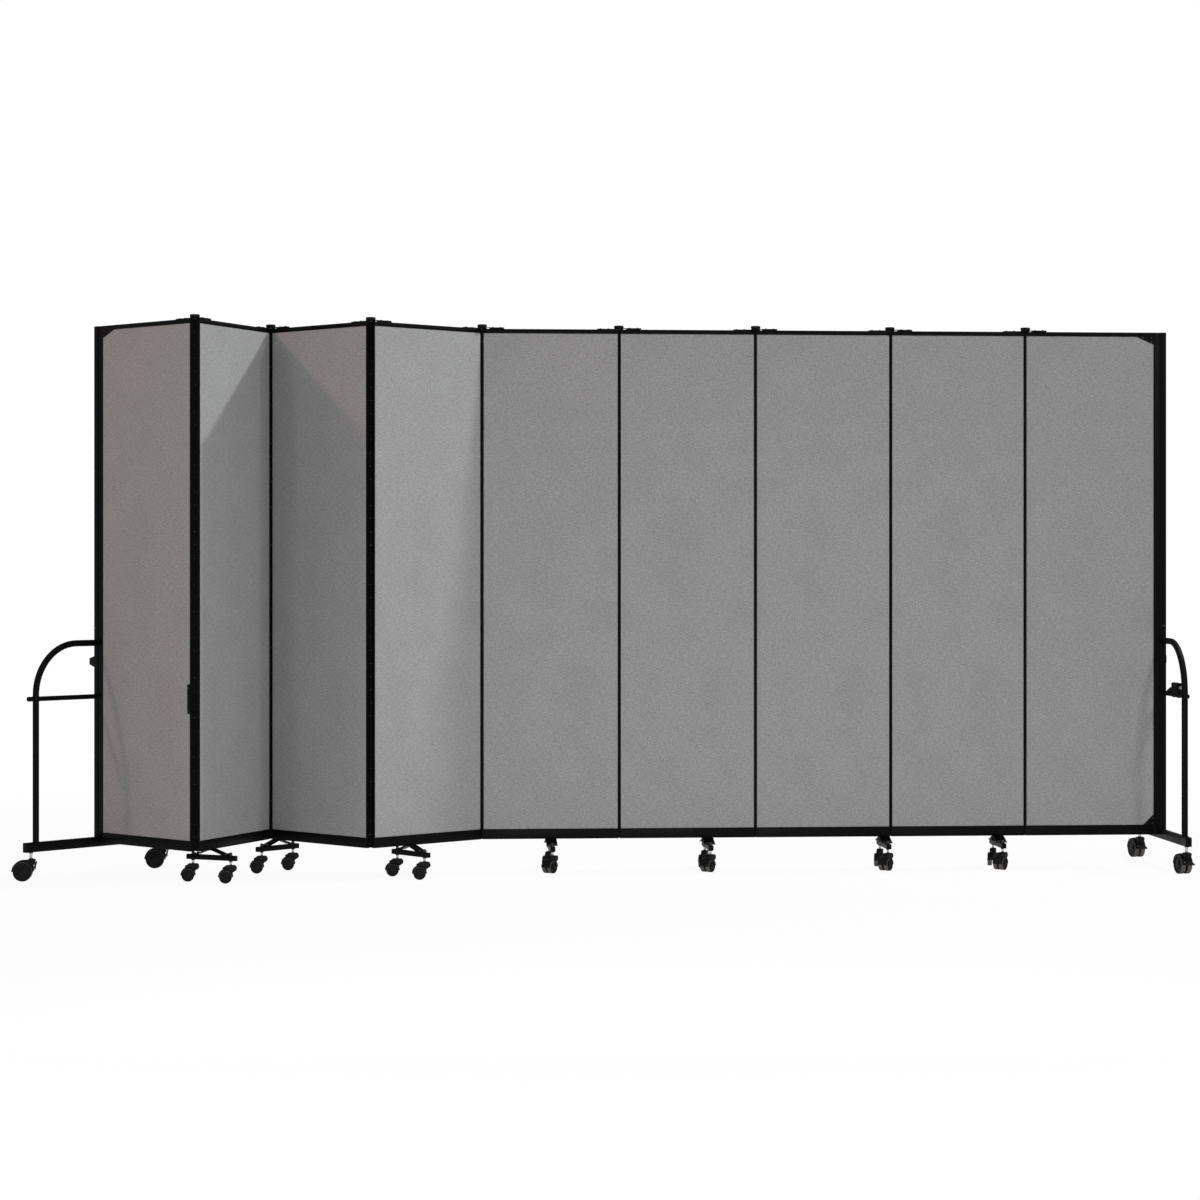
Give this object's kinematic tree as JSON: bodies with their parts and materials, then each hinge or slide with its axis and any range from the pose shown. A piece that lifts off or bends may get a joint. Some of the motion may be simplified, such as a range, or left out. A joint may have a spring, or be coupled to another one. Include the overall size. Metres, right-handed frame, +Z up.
{
  "type": "accordion folding partition",
  "caption": "Free-standing folding room divider: hinged fabric panels in black steel frames on casters, with an arched tube frame at each end.",
  "frame": {"origin": "on the floor, at the middle of the box round the standing screen in its rest pose", "axes": "+Z up, +X along the straight run of panels towards its free end, -Y towards the viewer of the picture"},
  "size_m": [4.7022, 0.8544, 2.217],
  "materials": {
    "fabric": "grey melange woven cloth, matt",
    "frame": "black powder coat, satin",
    "caster": "black moulded plastic",
    "wheel": "dark grey tread"
  },
  "bodies": {
    "panel_1": {"board_1": "fabric", "frame_1": "frame", "end_frame_left": "frame"},
    "panel_2": {"board_2": "fabric", "frame_2": "frame"},
    "panel_3": {"board_3": "fabric", "frame_3": "frame"},
    "panel_4": {"board_4": "fabric", "frame_4": "frame"},
    "panel_5": {"board_5": "fabric", "frame_5": "frame"},
    "panel_6": {"board_6": "fabric", "frame_6": "frame"},
    "panel_7": {"board_7": "fabric", "frame_7": "frame"},
    "panel_8": {"board_8": "fabric", "frame_8": "frame"},
    "panel_9": {"board_9": "fabric", "frame_9": "frame", "end_frame_right": "frame"},
    "caster_2_front": {"caster_2_front": "caster"},
    "wheels_2_front": {"wheels_2_front": "wheel"},
    "caster_2_back": {"caster_2_back": "caster"},
    "wheels_2_back": {"wheels_2_back": "wheel"},
    "caster_3_front": {"caster_3_front": "caster"},
    "wheels_3_front": {"wheels_3_front": "wheel"},
    "caster_3_back": {"caster_3_back": "caster"},
    "wheels_3_back": {"wheels_3_back": "wheel"},
    "caster_4_front": {"caster_4_front": "caster"},
    "wheels_4_front": {"wheels_4_front": "wheel"},
    "caster_4_back": {"caster_4_back": "caster"},
    "wheels_4_back": {"wheels_4_back": "wheel"},
    "caster_5_front": {"caster_5_front": "caster"},
    "wheels_5_front": {"wheels_5_front": "wheel"},
    "caster_5_back": {"caster_5_back": "caster"},
    "wheels_5_back": {"wheels_5_back": "wheel"},
    "caster_6_front": {"caster_6_front": "caster"},
    "wheels_6_front": {"wheels_6_front": "wheel"},
    "caster_6_back": {"caster_6_back": "caster"},
    "wheels_6_back": {"wheels_6_back": "wheel"},
    "caster_7_front": {"caster_7_front": "caster"},
    "wheels_7_front": {"wheels_7_front": "wheel"},
    "caster_7_back": {"caster_7_back": "caster"},
    "wheels_7_back": {"wheels_7_back": "wheel"},
    "caster_8_front": {"caster_8_front": "caster"},
    "wheels_8_front": {"wheels_8_front": "wheel"},
    "caster_8_back": {"caster_8_back": "caster"},
    "wheels_8_back": {"wheels_8_back": "wheel"},
    "end_caster_left_front": {"end_caster_left_front": "caster"},
    "end_wheels_left_front": {"end_wheels_left_front": "wheel"},
    "brake_left_front": {"brake_left_front": "caster"},
    "end_caster_left_back": {"end_caster_left_back": "caster"},
    "end_wheels_left_back": {"end_wheels_left_back": "wheel"},
    "brake_left_back": {"brake_left_back": "caster"},
    "end_caster_right_front": {"end_caster_right_front": "caster"},
    "end_wheels_right_front": {"end_wheels_right_front": "wheel"},
    "brake_right_front": {"brake_right_front": "caster"},
    "end_caster_right_back": {"end_caster_right_back": "caster"},
    "end_wheels_right_back": {"end_wheels_right_back": "wheel"},
    "brake_right_back": {"brake_right_back": "caster"}
  },
  "joints": [
    {"name": "hinge_4_5", "type": "hinge", "parent": "panel_5", "child": "panel_4", "pos_m": [-0.48699, 0.00212, 1.163], "axis": [0, 0, 1], "range_deg": [-37.5, 142.5]},
    {"name": "hinge_3_4", "type": "hinge", "parent": "panel_4", "child": "panel_3", "pos_m": [-0.94407, -0.32013, 1.163], "axis": [0, 0, -1], "range_deg": [-84.5, 95.5]},
    {"name": "hinge_2_3", "type": "hinge", "parent": "panel_3", "child": "panel_2", "pos_m": [-1.3417, 0.07314, 1.163], "axis": [0, 0, 1], "range_deg": [-108.5, 71.5]},
    {"name": "hinge_1_2", "type": "hinge", "parent": "panel_2", "child": "panel_1", "pos_m": [-1.6282, -0.40716, 1.163], "axis": [0, 0, -1], "range_deg": [-108.5, 71.5]},
    {"name": "hinge_5_6", "type": "hinge", "parent": "panel_5", "child": "panel_6", "pos_m": [0.07181, 0.02472, 1.163], "axis": [0, 0, 1], "range_deg": [0, 180]},
    {"name": "hinge_6_7", "type": "hinge", "parent": "panel_6", "child": "panel_7", "pos_m": [0.63061, 0.00212, 1.163], "axis": [0, 0, -1], "range_deg": [0, 180]},
    {"name": "hinge_7_8", "type": "hinge", "parent": "panel_7", "child": "panel_8", "pos_m": [1.18941, 0.02472, 1.163], "axis": [0, 0, 1], "range_deg": [0, 180]},
    {"name": "hinge_8_9", "type": "hinge", "parent": "panel_8", "child": "panel_9", "pos_m": [1.74821, 0.00212, 1.163], "axis": [0, 0, -1], "range_deg": [0, 180]},
    {"name": "swivel_2_front", "type": "hinge", "parent": "panel_2", "child": "caster_2_front", "pos_m": [-1.4907, -0.35574, 0.097], "axis": [0, 0, 1], "continuous": true},
    {"name": "roll_2_front", "type": "hinge", "parent": "caster_2_front", "child": "wheels_2_front", "pos_m": [-1.5107, -0.35574, 0.025], "axis": [0, -1, 0], "continuous": true},
    {"name": "swivel_2_back", "type": "hinge", "parent": "panel_2", "child": "caster_2_back", "pos_m": [-1.6401, -0.27462, 0.097], "axis": [0, 0, 1], "continuous": true},
    {"name": "roll_2_back", "type": "hinge", "parent": "caster_2_back", "child": "wheels_2_back", "pos_m": [-1.6601, -0.27462, 0.025], "axis": [0, -1, 0], "continuous": true},
    {"name": "swivel_3_front", "type": "hinge", "parent": "panel_3", "child": "caster_3_front", "pos_m": [-1.37651, 0.0024, 0.097], "axis": [0, 0, 1], "continuous": true},
    {"name": "roll_3_front", "type": "hinge", "parent": "caster_3_front", "child": "wheels_3_front", "pos_m": [-1.39651, 0.0024, 0.025], "axis": [0, -1, 0], "continuous": true},
    {"name": "swivel_3_back", "type": "hinge", "parent": "panel_3", "child": "caster_3_back", "pos_m": [-1.25218, 0.11834, 0.097], "axis": [0, 0, 1], "continuous": true},
    {"name": "roll_3_back", "type": "hinge", "parent": "caster_3_back", "child": "wheels_3_back", "pos_m": [-1.27218, 0.11834, 0.025], "axis": [0, -1, 0], "continuous": true},
    {"name": "swivel_4_front", "type": "hinge", "parent": "panel_4", "child": "caster_4_front", "pos_m": [-0.73091, -0.27794, 0.097], "axis": [0, 0, 1], "continuous": true},
    {"name": "roll_4_front", "type": "hinge", "parent": "caster_4_front", "child": "wheels_4_front", "pos_m": [-0.75091, -0.27794, 0.025], "axis": [0, -1, 0], "continuous": true},
    {"name": "swivel_4_back", "type": "hinge", "parent": "panel_4", "child": "caster_4_back", "pos_m": [-0.83439, -0.14307, 0.097], "axis": [0, 0, 1], "continuous": true},
    {"name": "roll_4_back", "type": "hinge", "parent": "caster_4_back", "child": "wheels_4_back", "pos_m": [-0.85439, -0.14307, 0.025], "axis": [0, -1, 0], "continuous": true},
    {"name": "swivel_5_front", "type": "hinge", "parent": "panel_5", "child": "caster_5_front", "pos_m": [-0.20699, -0.07158, 0.097], "axis": [0, 0, 1], "continuous": true},
    {"name": "roll_5_front", "type": "hinge", "parent": "caster_5_front", "child": "wheels_5_front", "pos_m": [-0.21985, -0.0869, 0.025], "axis": [0.766, -0.6428, 0], "continuous": true},
    {"name": "swivel_5_back", "type": "hinge", "parent": "panel_5", "child": "caster_5_back", "pos_m": [-0.20699, 0.09842, 0.097], "axis": [0, 0, 1], "continuous": true},
    {"name": "roll_5_back", "type": "hinge", "parent": "caster_5_back", "child": "wheels_5_back", "pos_m": [-0.21217, 0.0791, 0.025], "axis": [0.9659, -0.2588, 0], "continuous": true},
    {"name": "swivel_6_front", "type": "hinge", "parent": "panel_6", "child": "caster_6_front", "pos_m": [0.43461, -0.07158, 0.097], "axis": [0, 0, 1], "continuous": true},
    {"name": "roll_6_front", "type": "hinge", "parent": "caster_6_front", "child": "wheels_6_front", "pos_m": [0.42175, -0.0869, 0.025], "axis": [0.766, -0.6428, 0], "continuous": true},
    {"name": "swivel_6_back", "type": "hinge", "parent": "panel_6", "child": "caster_6_back", "pos_m": [0.43461, 0.09842, 0.097], "axis": [0, 0, 1], "continuous": true},
    {"name": "roll_6_back", "type": "hinge", "parent": "caster_6_back", "child": "wheels_6_back", "pos_m": [0.42943, 0.0791, 0.025], "axis": [0.9659, -0.2588, 0], "continuous": true},
    {"name": "swivel_7_front", "type": "hinge", "parent": "panel_7", "child": "caster_7_front", "pos_m": [1.16261, -0.07158, 0.097], "axis": [0, 0, 1], "continuous": true},
    {"name": "roll_7_front", "type": "hinge", "parent": "caster_7_front", "child": "wheels_7_front", "pos_m": [1.14975, -0.0869, 0.025], "axis": [0.766, -0.6428, 0], "continuous": true},
    {"name": "swivel_7_back", "type": "hinge", "parent": "panel_7", "child": "caster_7_back", "pos_m": [1.16261, 0.09842, 0.097], "axis": [0, 0, 1], "continuous": true},
    {"name": "roll_7_back", "type": "hinge", "parent": "caster_7_back", "child": "wheels_7_back", "pos_m": [1.15743, 0.0791, 0.025], "axis": [0.9659, -0.2588, 0], "continuous": true},
    {"name": "swivel_8_front", "type": "hinge", "parent": "panel_8", "child": "caster_8_front", "pos_m": [1.63621, -0.07158, 0.097], "axis": [0, 0, 1], "continuous": true},
    {"name": "roll_8_front", "type": "hinge", "parent": "caster_8_front", "child": "wheels_8_front", "pos_m": [1.62335, -0.0869, 0.025], "axis": [0.766, -0.6428, 0], "continuous": true},
    {"name": "swivel_8_back", "type": "hinge", "parent": "panel_8", "child": "caster_8_back", "pos_m": [1.63621, 0.09842, 0.097], "axis": [0, 0, 1], "continuous": true},
    {"name": "roll_8_back", "type": "hinge", "parent": "caster_8_back", "child": "wheels_8_back", "pos_m": [1.63103, 0.0791, 0.025], "axis": [0.9659, -0.2588, 0], "continuous": true},
    {"name": "swivel_left_front", "type": "hinge", "parent": "panel_1", "child": "end_caster_left_front", "pos_m": [-2.27633, -0.22137, 0.126], "axis": [0, 0, 1], "continuous": true},
    {"name": "roll_left_front", "type": "hinge", "parent": "end_caster_left_front", "child": "end_wheels_left_front", "pos_m": [-2.30833, -0.22137, 0.038], "axis": [0, -1, 0], "continuous": true},
    {"name": "pedal_left_front", "type": "hinge", "parent": "end_caster_left_front", "child": "brake_left_front", "pos_m": [-2.26183, -0.22137, 0.05], "axis": [0, 1, 0], "range_deg": [0, 106]},
    {"name": "swivel_left_back", "type": "hinge", "parent": "panel_1", "child": "end_caster_left_back", "pos_m": [-1.78486, 0.23694, 0.126], "axis": [0, 0, 1], "continuous": true},
    {"name": "roll_left_back", "type": "hinge", "parent": "end_caster_left_back", "child": "end_wheels_left_back", "pos_m": [-1.81686, 0.23694, 0.038], "axis": [0, -1, 0], "continuous": true},
    {"name": "pedal_left_back", "type": "hinge", "parent": "end_caster_left_back", "child": "brake_left_back", "pos_m": [-1.77036, 0.23694, 0.05], "axis": [0, 1, 0], "range_deg": [0, 106]},
    {"name": "swivel_right_front", "type": "hinge", "parent": "panel_9", "child": "end_caster_right_front", "pos_m": [2.32611, -0.32258, 0.126], "axis": [0, 0, 1], "continuous": true},
    {"name": "roll_right_front", "type": "hinge", "parent": "end_caster_right_front", "child": "end_wheels_right_front", "pos_m": [2.32055, -0.29107, 0.038], "axis": [-0.9848, -0.1736, 0], "continuous": true},
    {"name": "pedal_right_front", "type": "hinge", "parent": "end_caster_right_front", "child": "brake_right_front", "pos_m": [2.32863, -0.33686, 0.05], "axis": [0.9848, 0.1736, 0], "range_deg": [-92, 14]},
    {"name": "swivel_right_back", "type": "hinge", "parent": "panel_9", "child": "end_caster_right_back", "pos_m": [2.32611, 0.34942, 0.126], "axis": [0, 0, 1], "continuous": true},
    {"name": "roll_right_back", "type": "hinge", "parent": "end_caster_right_back", "child": "end_wheels_right_back", "pos_m": [2.32055, 0.38093, 0.038], "axis": [-0.9848, -0.1736, 0], "continuous": true},
    {"name": "pedal_right_back", "type": "hinge", "parent": "end_caster_right_back", "child": "brake_right_back", "pos_m": [2.32863, 0.33514, 0.05], "axis": [0.9848, 0.1736, 0], "range_deg": [-92, 14]}
  ],
  "couplings": [
    {"joint": "hinge_1_2", "follows": "hinge_2_3", "ratio": 1},
    {"joint": "hinge_6_7", "follows": "hinge_5_6", "ratio": 1},
    {"joint": "hinge_8_9", "follows": "hinge_7_8", "ratio": 1}
  ]
}
